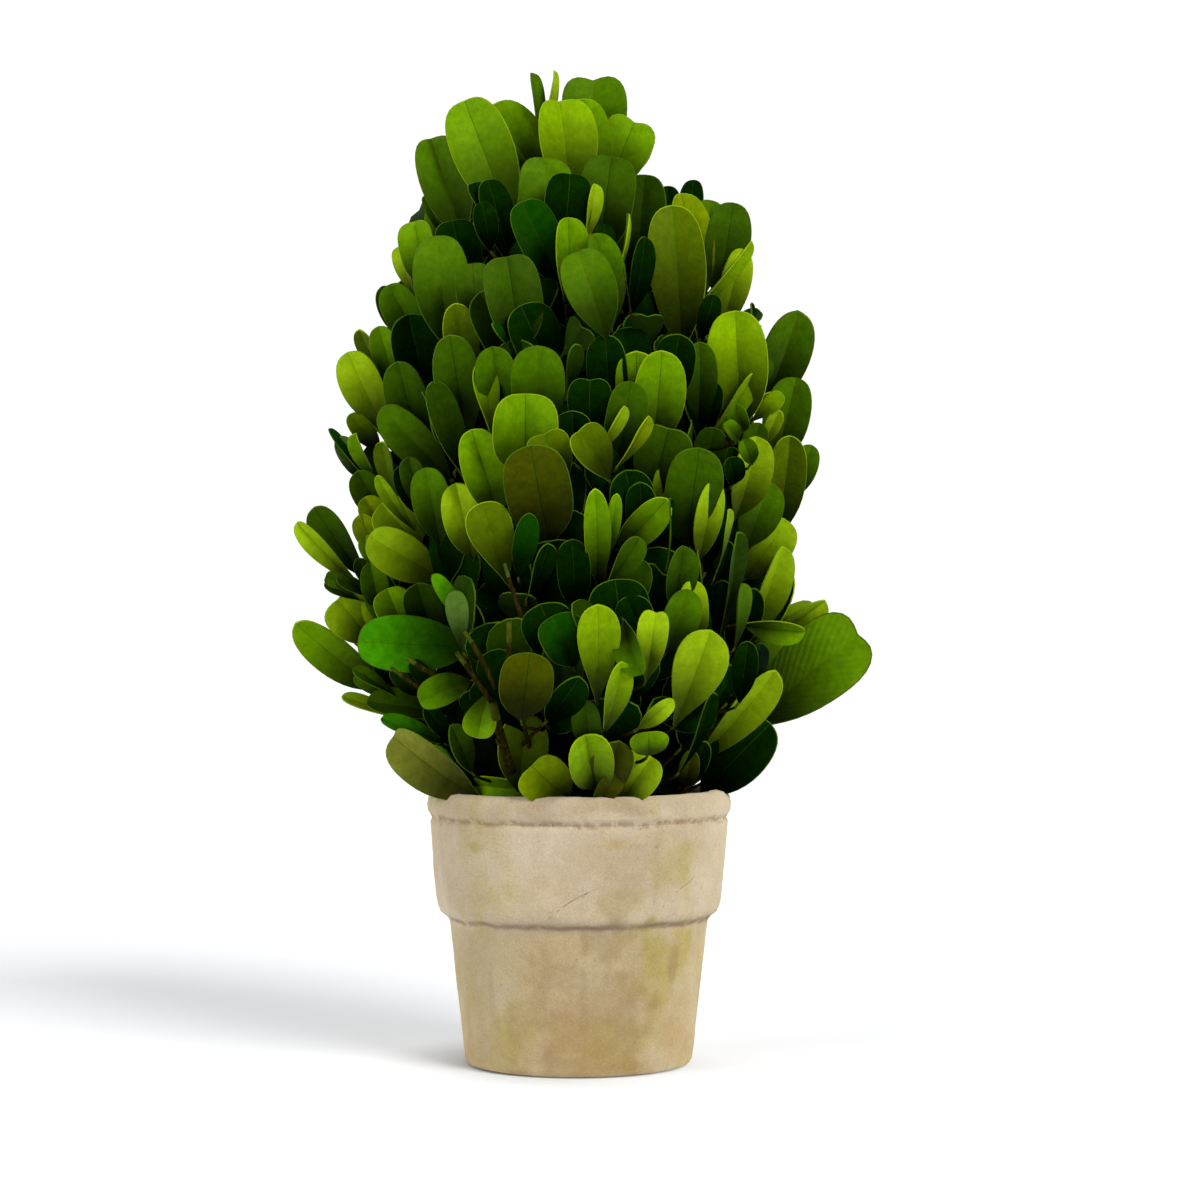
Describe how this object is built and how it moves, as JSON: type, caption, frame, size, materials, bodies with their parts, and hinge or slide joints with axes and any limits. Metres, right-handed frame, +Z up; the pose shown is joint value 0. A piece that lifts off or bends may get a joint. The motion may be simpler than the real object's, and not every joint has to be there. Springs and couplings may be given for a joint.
{
  "type": "boxwood cone topiary in a clay pot",
  "caption": "Small cone-shaped boxwood topiary of round leathery leaves, rising from an aged clay pot with a collared rim.",
  "frame": {"origin": "centre of the pot's flat underside", "axes": "+Z up along the plant's height; -Y towards the plant's front; +X to the right as seen from the front"},
  "size_m": [0.1439, 0.1204, 0.2491],
  "materials": {
    "aged_clay": "matte, chalky, weathered",
    "pot_filling": "matte, rough",
    "bark": "matte bark",
    "foliage": "satin leaf, waxy above"
  },
  "bodies": {
    "root": {"clay_pot": "aged_clay", "pot_filling": "pot_filling", "stem": "bark", "foliage_skirt": "foliage", "foliage_lower": "foliage", "foliage_middle": "foliage", "foliage_upper": "foliage", "foliage_tip": "foliage"}
  },
  "joints": []
}
